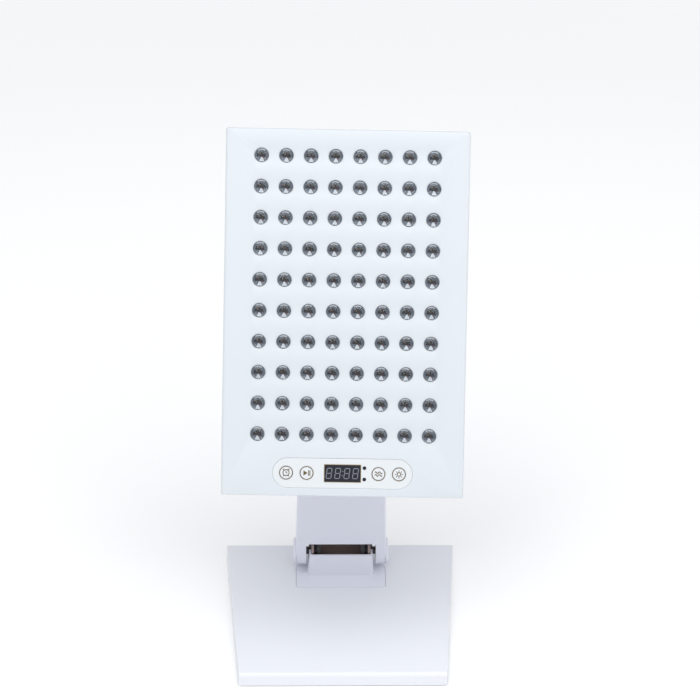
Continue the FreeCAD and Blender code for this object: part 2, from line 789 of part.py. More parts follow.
def steel_bracket(name, frame):
    """Foot plate, rear web and two ears with cut corners, folded from one sheet."""
    ear, rise, foot_top = HINGES[name]
    outer = "(%s - 4.8)" % ear
    inner = "(%s - steel_thickness)" % outer
    reach = "bracket_ear_radius"
    foot_low = "(%s - steel_thickness)" % foot_top
    depth = "2 * %s + steel_thickness" % reach
    plate = box("-" + outer, "-" + reach, foot_low, "2 * " + outer, depth, "steel_thickness")
    rise_of_web = "bracket_web_rise - %s" % foot_low
    web = box("-" + outer, reach, foot_low, "2 * " + outer, "steel_thickness", rise_of_web)
    pieces, holes = [plate, web], []
    for side in (1, -1):
        pieces.append(ear_plate(inner, outer, foot_low, reach, side))
        start, end = inner + " - 1", outer + " + 1"
        holes.append(side_prism(24, "shaft_radius + hinge_fit", start, end, side=side, flats=True))
    if name == "head":
        low, high = foot_low + " - 1", foot_top + " + 1"
        holes.append(prism(24, "pivot_radius + hinge_fit", low, high, flats=True))
    finish(name + "_hinge_bracket", cut(fuse(*pieces), *holes), frame)


def ear_plate(start, end, low, reach, side):
    """An ear from its foot up to its cut corners, drawn from the side."""
    body = new_body("Ear")
    plane = sketch_in(body, "YZ_Plane", start if side > 0 else "-" + end)
    cut_off = "(%s * 0.45)" % reach
    outline = [
        ("-" + reach, low), (reach, low), (reach, cut_off), (cut_off, reach),
        ("-" + cut_off, reach), ("-" + reach, cut_off),
    ]
    polygon(plane, outline)
    pad(body, plane, "%s - %s" % (end, start))
    return body


def ring(outer, bore, start, thickness, side):
    end = "%s + %s" % (start, thickness)
    disc = side_prism(16, outer, start, end, side=side)
    return cut(disc, side_prism(16, bore, start + " - 1", end + " + 1", side=side, flats=True))


def hex_nut(across, bore, start, height, side):
    end = "%s + %s" % (start, height)
    nut = side_prism(6, "%s / 2" % across, start, end, side=side, flats=True)
    return cut(nut, side_prism(16, bore, start + " - 1", end + " + 1", side=side, flats=True))


def hinge_cap(outer_face, side):
    """A round cap with a bevelled rim, and the plug that seats it in the arm's recess."""
    body = new_body("Cap")
    disc = sketch_in(body, "YZ_Plane", outer_face)
    regular_polygon(disc, 32, "cap_radius")
    pad(body, disc, "cap_height")

    def rim(edge):
        span = box_of(edge)
        return near(span.XMin, span.XMax) and near(span.XMin, size(outer_face + " + cap_height"))

    bevel_edges(body, "cap_chamfer", rim)
    plug = sketch_in(body, "YZ_Plane", outer_face)
    regular_polygon(plug, 12, "cap_plug_radius")
    pad(body, plug, "cap_plug_height", back=True)
    if side > 0:
        return body
    mirrored = doc.addObject("Part::Mirroring", "Mirrored")
    mirrored.Source = body
    mirrored.Normal = FreeCAD.Vector(1, 0, 0)
    return mirrored


def friction_stack(name, bracket_frame, arm_frame):
    """Shafts riveted to the arm run through the bracket's ears; springs and nuts clamp them."""
    ear = HINGES[name][0]
    outer_face = "%s_ear_outer" % name
    washer = "%s - 4.8 - steel_thickness - hinge_fit - washer_thickness" % ear
    spring = "%s - hinge_fit - spring_pack" % washer
    nut = "%s - nut_height" % spring
    plate_out = "%s + 2 + arm_steel_thickness" % ear
    washers, springs, nuts, shafts, caps = [], [], [], [], []
    for side in (1, -1):
        bore = "shaft_radius + slide_fit"
        washers.append(ring("washer_radius", bore, washer, "washer_thickness", side))
        springs.append(ring("spring_radius", bore, spring, "spring_pack", side))
        nuts.append(hex_nut("nut_across", "shaft_radius", nut, "nut_height", side))
        shank = rod("shaft_radius", "%s - shaft_tail" % nut, plate_out, side=side)
        head_end = "%s + shaft_head_height" % plate_out
        head = side_prism(12, "shaft_head_radius", plate_out, head_end, side=side)
        shafts.append(fuse(shank, head))
        caps.append(hinge_cap(outer_face, side))
    finish(name + "_friction_washers", group(*washers), bracket_frame)
    finish(name + "_disc_springs", group(*springs), arm_frame)
    finish(name + "_lock_nuts", group(*nuts), arm_frame)
    finish(name + "_hinge_shafts", group(*shafts), arm_frame)
    finish(name + "_hinge_caps", group(*caps), arm_frame)


# Arm: in its frame Y runs up the arm from the base hinge's axis and Z points to the front

def arm_outline(inset, low, high):
    """The arm's tapered front view between two heights, with straight stretches at both hinges."""
    foot = "(arm_foot_width / 2 - (%s))" % inset
    head = "(arm_head_width / 2 - (%s))" % inset
    lower_knee, upper_knee = "notch_rise", "(arm_length - notch_rise)"
    right = [(foot, low), (foot, lower_knee), (head, upper_knee), (head, high)]
    left = [("-" + x, y) for x, y in reversed(right)]
    return right + left


def tapered_outline(inset, low, high):
    """The four-sided middle of the arm's front view, between two heights on its tapered stretch."""
    slope = "((arm_foot_width - arm_head_width) / 2 / (arm_length - 2 * notch_rise))"
    half_low = "(arm_foot_width / 2 - (%s) - (%s - notch_rise) * %s)" % (inset, low, slope)
    half_high = "(arm_foot_width / 2 - (%s) - (%s - notch_rise) * %s)" % (inset, high, slope)
    return [(half_low, low), (half_high, high), ("-" + half_high, high), ("-" + half_low, low)]


CAVITY_LOW = "(arm_cavity_start)"
CAVITY_HIGH = "(arm_length - arm_cavity_start)"


def arm_shell():
    body = new_body("ArmShell")
    front = sketch_in(body, "XY_Plane", "-arm_radius")
    polygon(front, arm_outline("0", "-arm_radius", "arm_length + arm_radius"))
    pad(body, front, "arm_thickness")

    def cross_edge(edge):
        span = box_of(edge)
        flat = near(span.YMin, span.YMax) and near(span.ZMin, span.ZMax)
        return flat and span.XLength > 10

    round_edges(body, "arm_radius - 0.02", cross_edge)

    def front_edge(edge):
        span = box_of(edge)
        return near(abs(span.ZMin), size("arm_radius")) and near(span.ZMin, span.ZMax) and span.YLength > 5

    bevel_edges(body, "arm_edge_bevel", front_edge)
    for low, high in (
        ("-(arm_radius + 9)", "notch_rise"),
        ("arm_length - notch_rise", "arm_length + arm_radius + 9"),
    ):
        ear = "base_ear_place" if low.startswith("-") else "head_ear_place"
        notch = sketch_in(body, "XY_Plane", "-arm_radius - 1")
        middle = "(%s + %s) / 2" % (low, high)
        rounded_rectangle(notch, "2 * %s" % ear, "%s - (%s)" % (high, low), "notch_corner", y=middle)
        pocket(body, notch, "arm_thickness + 2", back=True)
    cavity = sketch_in(body, "XY_Plane", "-arm_radius - 1")
    polygon(cavity, tapered_outline("arm_wall", CAVITY_LOW, CAVITY_HIGH))
    pocket(body, cavity, "arm_thickness + 1 - arm_wall", back=True)

    tools = []
    for side in (1, -1):
        for name, axis_y, low, high in (
            ("base", "0", "-(bracket_ear_radius + 0.4)", CAVITY_LOW + " + 0.5"),
            ("head", "arm_length", CAVITY_HIGH + " - 0.5", "arm_length + bracket_ear_radius + 0.4"),
        ):
            ear = "%s_ear_place" % name
            flange_in = "%s + 2 - slide_fit" % ear
            flange_out = "%s + 2 + arm_steel_thickness + slide_fit" % ear
            outside = "%s_ear_outer + 1" % name
            depth = "arm_bracket_depth + 0.4"
            tools.append(side_block(flange_in, flange_out, low, "-(%s) / 2" % depth,
                                    "%s - (%s)" % (high, low), depth, side))
            reach = "shaft_radius + slide_fit"
            tools.append(side_prism(16, reach, "%s - 1" % ear, flange_out, axis_y, side, flats=True))
            reach = "cap_plug_radius + slide_fit"
            tools.append(side_prism(16, reach, flange_out, outside, axis_y, side, flats=True))
    shell = cut(body, *tools)
    posts = []
    for y in ("arm_length * 0.25", "arm_length * 0.75"):
        for sign in (1, -1):
            x = "%d * (arm_head_width / 2 - arm_wall - 5)" % sign
            posts.append(slab("7", "7", "-arm_radius + arm_wall", "arm_radius - arm_wall", x, y))
    finish("arm_front_shell", fuse(shell, *posts), ARM_FRAME)

    cover = new_body("ArmCover")
    outline = sketch_in(cover, "XY_Plane", "-arm_radius")
    polygon(
        outline,
        tapered_outline("arm_wall + arm_cover_fit", CAVITY_LOW + " + arm_cover_fit", CAVITY_HIGH + " - arm_cover_fit"),
    )
    pad(cover, outline, "arm_wall")
    finish("arm_rear_cover", cover, ARM_FRAME)


def arm_brackets():
    """A steel channel at each end of the arm, whose flanges carry the shafts inside the ears."""
    for name, axis_y, low, high in (
        ("base", "0", "-bracket_ear_radius", "arm_bracket_reach"),
        ("head", "arm_length", "arm_length - arm_bracket_reach", "arm_length + bracket_ear_radius"),
    ):
        inner = "%s_ear_place + 2" % name
        outer = "%s + arm_steel_thickness" % inner
        front = "arm_bracket_depth / 2"
        web_low = low if name == "head" else CAVITY_LOW + " + 0.3"
        web_high = high if name == "base" else CAVITY_HIGH + " - 0.3"
        pieces = [box("-(%s)" % outer, web_low, front, "2 * (%s)" % outer,
                      "%s - (%s)" % (web_high, web_low), "arm_radius - arm_wall - (%s)" % front)]
        holes = []
        for side in (1, -1):
            pieces.append(side_block(inner, outer, low, "-(%s)" % front, "%s - (%s)" % (high, low),
                                     "2 * (%s)" % front, side))
            start, end = "%s - 1" % inner, "%s + 1" % outer
            holes.append(side_prism(16, "shaft_radius", start, end, axis_y, side, flats=True))
        finish("arm_%s_bracket" % name, cut(fuse(*pieces), *holes), ARM_FRAME)


# Yoke: the head hinge's bracket and cup on their swivel flange

def yoke():
    steel_bracket("head", YOKE_FRAME)
    ear, rise, foot_top = HINGES["head"]
    flange = prism(48, "swivel_flange_radius", "-(head_rise + swivel_flange)", "-head_rise")
    low = "-(head_rise + swivel_flange + 1)"
    hole = prism(24, "pivot_radius + hinge_fit", low, "-head_rise + 1", flats=True)
    finish("head_knuckle_cover", cut(fuse(flange, knuckle_cup(ear, rise)), hole), YOKE_FRAME)


# Base: a wedge-sided cover over a steel weight, closed by a bottom cover and a rubber pad

def base_outline(inset):
    """The base's plan, narrower at the front."""
    front = "(base_front_width / 2 - (%s))" % inset
    back = "(base_back_width / 2 - (%s))" % inset
    low, high = "(-base_depth / 2 + %s)" % inset, "(base_depth / 2 - (%s))" % inset
    return [("-" + front, low), (front, low), (back, high), ("-" + back, high)]


def base_parts():
    body = new_body("BaseShell")
    outline = sketch_in(body, "XY_Plane", "pad_thickness")
    polygon(outline, base_outline("0"))
    pad(body, outline, "base_height")

    def front_edge(edge):
        span = box_of(edge)
        across = span.XLength > 50 and near(span.YMin, span.YMax)
        return across and near(span.ZMin, size("base_top")) and span.YMax < 0

    def side_edge(edge):
        """The top edges at the sides and the back, the upright corners and the arcs between."""
        span = box_of(edge)
        level = near(span.ZMin, span.ZMax)
        at_top = level and near(span.ZMin, size("base_top"))
        front_line = at_top and span.YMax < 0 and near(span.YMin, span.YMax)
        return (at_top and not front_line) or (span.ZLength > 1 and not level)

    round_edges(body, "base_front_radius", front_edge)
    round_edges(body, "base_edge_radius", side_edge)
    hollow = sketch_in(body, "XY_Plane", "pad_thickness")
    polygon(hollow, base_outline("base_wall"))
    pocket(body, hollow, "base_height - base_wall", back=True)

    ear, rise, foot_top = HINGES["base"]
    reach = "hinge_cover_reach"
    width = "hinge_cover_width"
    recess = new_body("HingeCoverForm")
    plan = sketch_in(recess, "XY_Plane", "base_top - base_wall - 1")
    rounded_rectangle(plan, width + " + 2 * seam", reach + " + 2 * seam", "hinge_cover_corner + seam",
                      y="hinge_y - %s / 2" % reach)
    pad(recess, plan, "base_wall + 2")
    inner = "2 * (base_ear_place - cup_side_gap - cup_wall - 0.6)"
    well = slab(inner, "2 * (cup_half_depth - cup_wall - 0.6)", "base_top - base_wall - 1", "base_top + 1", y="hinge_y")
    cup = knuckle_cup(ear, rise)
    cup.Placement = BASE_HINGE_FRAME
    room = "4 * base_ear_place"
    back_room = box("-(%s) / 2" % room, "hinge_y + seam / 2", "base_top - 1", room, "40", "60")
    finish("base_top_cover", fuse(cut(body, recess, well), common(cup, back_room)))

    front_cup = knuckle_cup(ear, rise)
    front_cup.Placement = BASE_HINGE_FRAME
    front_room = box("-(%s) / 2" % room, "hinge_y - 40", "base_top - 1", room, "40 - seam / 2", "60")
    plate = new_body("HingeCoverPlate")
    plan = sketch_in(plate, "XY_Plane", "base_top - base_wall")
    rounded_rectangle(plan, width, reach, "hinge_cover_corner", y="hinge_y - %s / 2" % reach)
    pad(plate, plan, "base_wall")
    front_well = slab(inner, "2 * (cup_half_depth - cup_wall - 0.6)", "base_top - base_wall - 1", "base_top + 1", y="hinge_y")
    finish("base_hinge_cover", fuse(cut(plate, front_well), common(front_cup, front_room)))

    bottom = new_body("BottomCover")
    plan = sketch_in(bottom, "XY_Plane", "pad_thickness")
    polygon(plan, base_outline("base_wall + bottom_cover_fit"))
    pad(bottom, plan, "bottom_cover")
    finish("base_bottom_cover", bottom)
    sole = new_body("Pad")
    plan = sketch_in(sole, "XY_Plane", "0")
    polygon(plan, base_outline("pad_inset"))
    pad(sole, plan, "pad_thickness")
    finish("non_slip_pad", sole)
    weight = new_body("Weight")
    plan = sketch_in(weight, "XY_Plane", "pad_thickness + bottom_cover")
    polygon(plan, base_outline("weight_margin"))
    pad(weight, plan, "base_height - base_wall - bottom_cover - steel_thickness")
    finish("base_weight", weight)
    steel_bracket("base", BASE_HINGE_FRAME)


# Fasteners that show: heads only, let into nothing and seated on their covers

def screws():
    heads = []
    for y in ("arm_length * 0.25", "arm_length * 0.75"):
        for sign in (1, -1):
            x = "%d * (arm_head_width / 2 - arm_wall - 5)" % sign
            low = "-arm_radius - screw_head_height"
            heads.append(prism(10, "screw_head_radius", low, "-arm_radius", x, y))
    finish("arm_cover_screws", group(*heads), ARM_FRAME)
    heads = []
    for sign_x in (1, -1):
        for sign_y in (1, -1):
            x = "%d * (panel_width / 2 - 9)" % sign_x
            y = "%d * (panel_height / 2 - 9)" % sign_y
            low = "back_z - screw_head_height"
            heads.append(prism(10, "screw_head_radius", low, "back_z", x, y))
    finish("rear_cover_screws", group(*heads), PANEL_FRAME)


front_housing()
lens_array()
light_engine()
control_strip()
rear_cover()
for fan_name, fan_centre in FANS:
    fan(fan_name, fan_centre)
mains_parts()
swivel_parts()
arm_shell()
arm_brackets()
yoke()
friction_stack("base", BASE_HINGE_FRAME, ARM_FRAME)
HEAD_SHAFT_FRAME = FreeCAD.Placement(HEAD_AXIS, UPRIGHT)
friction_stack("head", YOKE_FRAME, HEAD_SHAFT_FRAME)
base_parts()
screws()

doc.recompute()
for item in doc.Objects:
    if "Invalid" in item.State or "Error" in item.State:
        raise RuntimeError("%s (%s) did not build" % (item.Label, item.Name))
os.makedirs("parts", exist_ok=True)
for name, item in parts.items():
    if item.Shape.isNull() or not item.Shape.isValid():
        raise RuntimeError("%s has no sound shape" % name)
for name, item in parts.items():
    item.Shape.exportStep("parts/%s.step" % name)
print("%d sub-parts" % len(parts))
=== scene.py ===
import json
import math

import bpy
import bmesh
from mathutils import Matrix, Vector


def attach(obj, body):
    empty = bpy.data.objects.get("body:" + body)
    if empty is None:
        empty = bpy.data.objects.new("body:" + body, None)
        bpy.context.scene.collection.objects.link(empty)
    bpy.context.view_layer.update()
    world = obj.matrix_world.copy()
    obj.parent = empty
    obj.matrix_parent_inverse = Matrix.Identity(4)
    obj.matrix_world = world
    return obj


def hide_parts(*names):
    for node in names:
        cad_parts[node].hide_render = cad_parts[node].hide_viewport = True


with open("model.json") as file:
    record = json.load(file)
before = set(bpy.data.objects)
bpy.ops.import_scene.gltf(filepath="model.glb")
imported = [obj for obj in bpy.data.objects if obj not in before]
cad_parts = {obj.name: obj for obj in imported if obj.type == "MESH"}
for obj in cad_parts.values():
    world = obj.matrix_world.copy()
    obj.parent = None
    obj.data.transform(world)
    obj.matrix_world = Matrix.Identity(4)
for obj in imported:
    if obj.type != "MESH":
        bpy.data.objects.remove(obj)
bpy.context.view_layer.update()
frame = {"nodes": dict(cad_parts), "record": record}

MM = 0.001

# Placing: the panel's frame has X across its face, Y up it and Z out of its front.
JOINTS = {joint["name"]: joint for joint in frame["record"]["behaviour"]["joints"]}
HEAD_AXIS = Vector(JOINTS["head_swivel"]["pos_m"])
PANEL_TILT = math.radians(29.6)
PANEL_SWIVEL = math.radians(1.0)
TURN = (
    Matrix.Rotation(-PANEL_TILT, 4, "X")
    @ Matrix.Rotation(PANEL_SWIVEL, 4, "Y")
    @ Matrix.Rotation(math.pi / 2, 4, "X")
)
PANEL = Matrix.Translation(HEAD_AXIS) @ TURN @ Matrix.Scale(MM, 4)

# Panel, in millimetres of its own frame
HALF_WIDTH, HALF_HEIGHT = 100.0, 150.8
FRONT, HOUSING_BACK, WALL = 74.0, 36.0, 2.5
SIDE_BEND, END_BEND, CORNER = 2.4, 0.9, 2.0
LENS_ROWS, LENS_COLUMNS = 10, 8
LENS_PITCH = (20.2, 25.4)
LENS_RISE = 14.5
HOLE_RADIUS, HOLE_BEVEL = 5.95, 0.75
LENS_RADIUS, LENS_PROUD, LENS_BACK = 5.75, 1.5, 71.4
STRIP_DROP, STRIP_LENGTH, STRIP_HEIGHT = 131.6, 115.0, 24.5
STRIP_TOP = 73.8
KEY_TOP = 73.95
KEY_RADIUS = 5.9
KEYS = {"timer": -46.5, "start": -29.6, "mode": 29.6, "light": 46.5}
DISPLAY_WIDTH, DISPLAY_HEIGHT = 30.7, 15.0
INDICATOR_PLACE, INDICATOR_SPREAD, INDICATOR_RADIUS = 18.0, 4.7, 1.5


# Materials

def new_material(name):
    material = bpy.data.materials.new(name)
    material.use_nodes = True
    return material, material.node_tree.nodes, material.node_tree.links


def surface(name, colour, roughness, metallic=0.0, coat=0.0, grain=0.0, grain_scale=1800.0,
            variation=0.0, transmission=0.0, ior=1.49):
    material, nodes, links = new_material(name)
    shader = nodes["Principled BSDF"]
    shader.inputs["Base Color"].default_value = (*colour, 1.0)
    shader.inputs["Roughness"].default_value = roughness
    shader.inputs["Metallic"].default_value = metallic
    shader.inputs["Coat Weight"].default_value = coat
    shader.inputs["Coat Roughness"].default_value = 0.08
    shader.inputs["Transmission Weight"].default_value = transmission
    shader.inputs["IOR"].default_value = ior
    place = nodes.new("ShaderNodeTexCoord")
    if variation:
        cloud = nodes.new("ShaderNodeTexNoise")
        cloud.inputs["Scale"].default_value = 14.0
        cloud.inputs["Detail"].default_value = 3.0
        tint = nodes.new("ShaderNodeMix")
        tint.data_type = "RGBA"
        darker = [channel * (1 - variation) for channel in colour]
        tint.inputs[6].default_value = (*darker, 1.0)
        lighter = [min(1.0, channel * (1 + variation)) for channel in colour]
        tint.inputs[7].default_value = (*lighter, 1.0)
        links.new(place.outputs["Object"], cloud.inputs["Vector"])
        links.new(cloud.outputs["Fac"], tint.inputs[0])
        links.new(tint.outputs[2], shader.inputs["Base Color"])
    if grain:
        noise = nodes.new("ShaderNodeTexNoise")
        noise.inputs["Scale"].default_value = grain_scale
        noise.inputs["Detail"].default_value = 2.0
        bump = nodes.new("ShaderNodeBump")
        bump.inputs["Strength"].default_value = grain
        bump.inputs["Distance"].default_value = 0.00008
        links.new(place.outputs["Object"], noise.inputs["Vector"])
        links.new(noise.outputs["Fac"], bump.inputs["Height"])
        links.new(bump.outputs["Normal"], shader.inputs["Normal"])
    return material


FINISH = {
    "housing_white": surface(
        "housing_white", (0.615, 0.65, 0.685),
        0.42, coat=0.12, grain=0.05, variation=0.006
    ),
    "stand_white": surface(
        "stand_white", (0.74, 0.75, 0.83),
        0.45, coat=0.10, grain=0.06, variation=0.008
    ),
    "base_white": surface(
        "base_white", (0.765, 0.78, 0.825),
        0.42, coat=0.12, grain=0.06, variation=0.008
    ),
    "black_rubber": surface("black_rubber", (0.03, 0.025, 0.022), 0.85, grain=0.4, variation=0.05),
    "steel_weight": surface(
        "steel_weight", (0.42, 0.42, 0.44),
        0.45, metallic=1.0, grain=0.2, variation=0.03
    ),
    "bronzed_steel": surface(
        "bronzed_steel", (0.36, 0.27, 0.245),
        0.42, metallic=0.35, grain=0.15, variation=0.05
    ),
    "bright_steel": surface(
        "bright_steel", (0.34, 0.33, 0.33),
        0.28, metallic=1.0, grain=0.1, variation=0.03
    ),
    "black_oxide": surface(
        "black_oxide", (0.02, 0.02, 0.024),
        0.38, metallic=0.6, grain=0.15, variation=0.05
    ),
    "clear_lens": surface("clear_lens", (0.93, 0.95, 0.97), 0.03, transmission=1.0, ior=1.46),
    "circuit_board": surface("circuit_board", (0.75, 0.77, 0.78), 0.5, variation=0.02),
    "fin_aluminium": surface(
        "fin_aluminium", (0.66, 0.67, 0.69),
        0.36, metallic=1.0, grain=0.15, variation=0.02
    ),
    "strip_film": surface(
        "strip_film", (0.665, 0.69, 0.715),
        0.36, coat=0.15, grain=0.03, variation=0.004
    ),
    "display_black": surface(
        "display_black", (0.001, 0.001, 0.010),
        0.55, coat=0.0, variation=0.05
    ),
    "black_plastic": surface(
        "black_plastic", (0.022, 0.022, 0.024),
        0.5, grain=0.3, variation=0.05
    ),
    "light_lens": surface("light_lens", (0.012, 0.012, 0.016), 0.18, coat=0.4, variation=0.05),
    "switch_steel": surface(
        "switch_steel", (0.62, 0.62, 0.62),
        0.32, metallic=1.0, variation=0.02
    ),
}
INK = surface("printed_ink", (0.115, 0.078, 0.028), 0.5, variation=0.05)
GOLD_LINE = surface("display_edge", (0.42, 0.33, 0.17), 0.35, metallic=0.4, variation=0.03)
SEGMENT = surface("display_segment", (0.20, 0.215, 0.245), 0.4, variation=0.03)
CELL_GREY = surface("lens_cell", (0.10, 0.125, 0.165), 0.35, coat=0.0, variation=0.25)
CELL_DARK = surface("led_package", (0.004, 0.004, 0.007), 0.4, coat=0.0, variation=0.1)
# Painted reflection: this pale colour goes on flat plates behind each lens that stand in for the lens's own
# reflections
PAINTED_GLINT_WHITE = surface("lens_glint", (0.80, 0.83, 0.87), 0.4, variation=0.03)
DIE_RED = surface("led_die_red", (0.16, 0.018, 0.014), 0.3, coat=0.5, variation=0.1)
DIE_AMBER = surface("led_die_amber", (0.20, 0.10, 0.045), 0.3, coat=0.5, variation=0.1)
RIM_WHITE = surface("lens_flange", (0.17, 0.21, 0.27), 0.3, coat=0.2, variation=0.02)

# Meshes

def add_piece(name, mesh, body, material, place=PANEL, replaces=()):
    mesh.transform(place)
    mesh.materials.append(material)
    piece = bpy.data.objects.new(name, mesh)
    bpy.context.scene.collection.objects.link(piece)
    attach(piece, body)
    if replaces:
        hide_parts(*replaces)
    return piece


def from_bmesh(name, form, smooth=30.0):
    bmesh.ops.remove_doubles(form, verts=form.verts, dist=0.002)
    bmesh.ops.recalc_face_normals(form, faces=form.faces)
    for face in form.faces:
        face.smooth = True
    for edge in form.edges:
        edge.smooth = len(edge.link_faces) == 2 and edge.calc_face_angle(0) < math.radians(smooth)
    mesh = bpy.data.meshes.new(name)
    form.to_mesh(mesh)
    form.free()
    return mesh


def circle(radius, x=0.0, y=0.0, sides=40, start=0.0, sweep=2 * math.pi):
    closed = abs(sweep - 2 * math.pi) < 1e-6
    count = sides if closed else sides + 1
    turns = [start + sweep * step / sides for step in range(count)]
    return [(x + radius * math.cos(turn), y + radius * math.sin(turn)) for turn in turns]


def rounded(half_x, half_y, corner, x=0.0, y=0.0, steps=6):
    """A rectangle's outline with round corners, anticlockwise."""
    points = []
    for side_x, side_y, start in ((1, 1, 0), (-1, 1, 90), (-1, -1, 180), (1, -1, 270)):
        centre_x, centre_y = x + side_x * (half_x - corner), y + side_y * (half_y - corner)
        points += circle(corner, centre_x, centre_y, steps, math.radians(start), math.pi / 2)
    return points


def ring_of(form, outline, level):
    return [form.verts.new((x, y, level)) for x, y in outline]


def bridge(form, lower, upper):
    count = len(lower)
    for step in range(count):
        after = (step + 1) % count
        form.faces.new((lower[step], lower[after], upper[after], upper[step]))


def skin(form, outlines, levels, close_low=False, close_high=False):
    rings = [ring_of(form, outline, level) for outline, level in zip(outlines, levels)]
    for lower, upper in zip(rings, rings[1:]):
        bridge(form, lower, upper)
    if close_low:
        form.faces.new(rings[0][::-1])
    if close_high:
        form.faces.new(rings[-1])
    return rings


def flat_sheet(form, outer, holes, level):
    """Fills the outline with triangles and leaves the holes open."""
    edges = []
    for outline in [outer] + holes:
        corners = ring_of(form, outline, level)
        for step, corner in enumerate(corners):
            edges.append(form.edges.new((corner, corners[(step + 1) % len(corners)])))
    bmesh.ops.triangle_fill(form, use_beauty=True, edges=edges)


def plate(name, outline, low, high, edge=0.0, steps=3):
    """A flat piece with straight sides; its upper rim is rounded by edge."""
    form = bmesh.new()
    centre = Vector((sum(x for x, y in outline), sum(y for x, y in outline))) / len(outline)
    reach = max((Vector(point) - centre).length for point in outline)

    def inset(amount):
        scale = 1 - amount / reach
        return [tuple(centre + (Vector(point) - centre) * scale) for point in outline]

    outlines, levels = [outline], [low]
    for step in range(steps + 1 if edge else 1):
        turn = math.pi / 2 * step / steps if edge else 0.0
        outlines.append(inset(edge * (1 - math.cos(turn))))
        levels.append(high - edge + edge * math.sin(turn))
    skin(form, outlines, levels, close_low=True, close_high=True)
    return from_bmesh(name, form)


def merged(name, meshes):
    form = bmesh.new()
    for mesh in meshes:
        form.from_mesh(mesh)
        bpy.data.meshes.remove(mesh)
    mesh = bpy.data.meshes.new(name)
    form.to_mesh(mesh)
    form.free()
    return mesh


def lens_places():
    for row in range(LENS_ROWS):
        for column in range(LENS_COLUMNS):
            x = (column - (LENS_COLUMNS - 1) / 2) * LENS_PITCH[0]
            y = LENS_RISE + ((LENS_ROWS - 1) / 2 - row) * LENS_PITCH[1]
            yield x, y


# Front housing: a folded tray with a round bevelled hole for each lens

def pill(length, height, x=0.0, y=0.0):
    return rounded(length / 2, height / 2, height / 2 - 0.001, x, y, 14)


def front_housing():
    form = bmesh.new()
    outlines, levels = [], []
    for step in range(7):
        turn = math.pi / 2 * step / 6
        side = SIDE_BEND * (1 - math.sin(turn))
        end = END_BEND * (1 - math.sin(turn))
        outlines.append(rounded(HALF_WIDTH - side, HALF_HEIGHT - end, CORNER))
        levels.append(FRONT - SIDE_BEND * (1 - math.cos(turn)))
    outer = outlines[0]
    inner = rounded(HALF_WIDTH - WALL, HALF_HEIGHT - WALL, 1.0)
    outlines += [outlines[-1], inner, inner]
    levels += [HOUSING_BACK, HOUSING_BACK, FRONT - WALL]
    skin(form, outlines, levels)
    wide, narrow = [], []
    for x, y in lens_places():
        rim, bore = circle(HOLE_RADIUS + HOLE_BEVEL, x, y), circle(HOLE_RADIUS, x, y)
        middle = circle(HOLE_RADIUS + HOLE_BEVEL * 0.3, x, y)
        skin(form, [rim, middle, bore, bore], [FRONT, FRONT - 0.22, FRONT - HOLE_BEVEL, FRONT - WALL])
        wide.append(rim)
        narrow.append(bore)
    opening = pill(STRIP_LENGTH + 0.3, STRIP_HEIGHT + 0.3, 0, -STRIP_DROP)
    lip = pill(STRIP_LENGTH + 0.9, STRIP_HEIGHT + 0.9, 0, -STRIP_DROP)
    skin(form, [lip, opening, opening], [FRONT, FRONT - 0.22, FRONT - WALL])
    flat_sheet(form, outer, wide + [lip], FRONT)
    flat_sheet(form, inner, narrow + [opening], FRONT - WALL)
    mesh = from_bmesh("panel_housing", form, smooth=35)
    finish = FINISH["housing_white"]
    add_piece("panel_housing", mesh, "panel", finish, replaces=["front_housing"])


front_housing()


# Lenses: a clear dome in each hole, and behind it the LED package that it magnifies, with pale plates that
# paint in the lens's reflections

# The LED package's outline, from the centre of its lens
PACKAGE = [
    (-3.6, -0.9), (-0.4, -1.2), (0.6, -1.2), (3.4, -1.6),
    (2.4, 2.0), (0.5, 2.7), (-0.8, 2.6), (-3.0, 1.4),
]


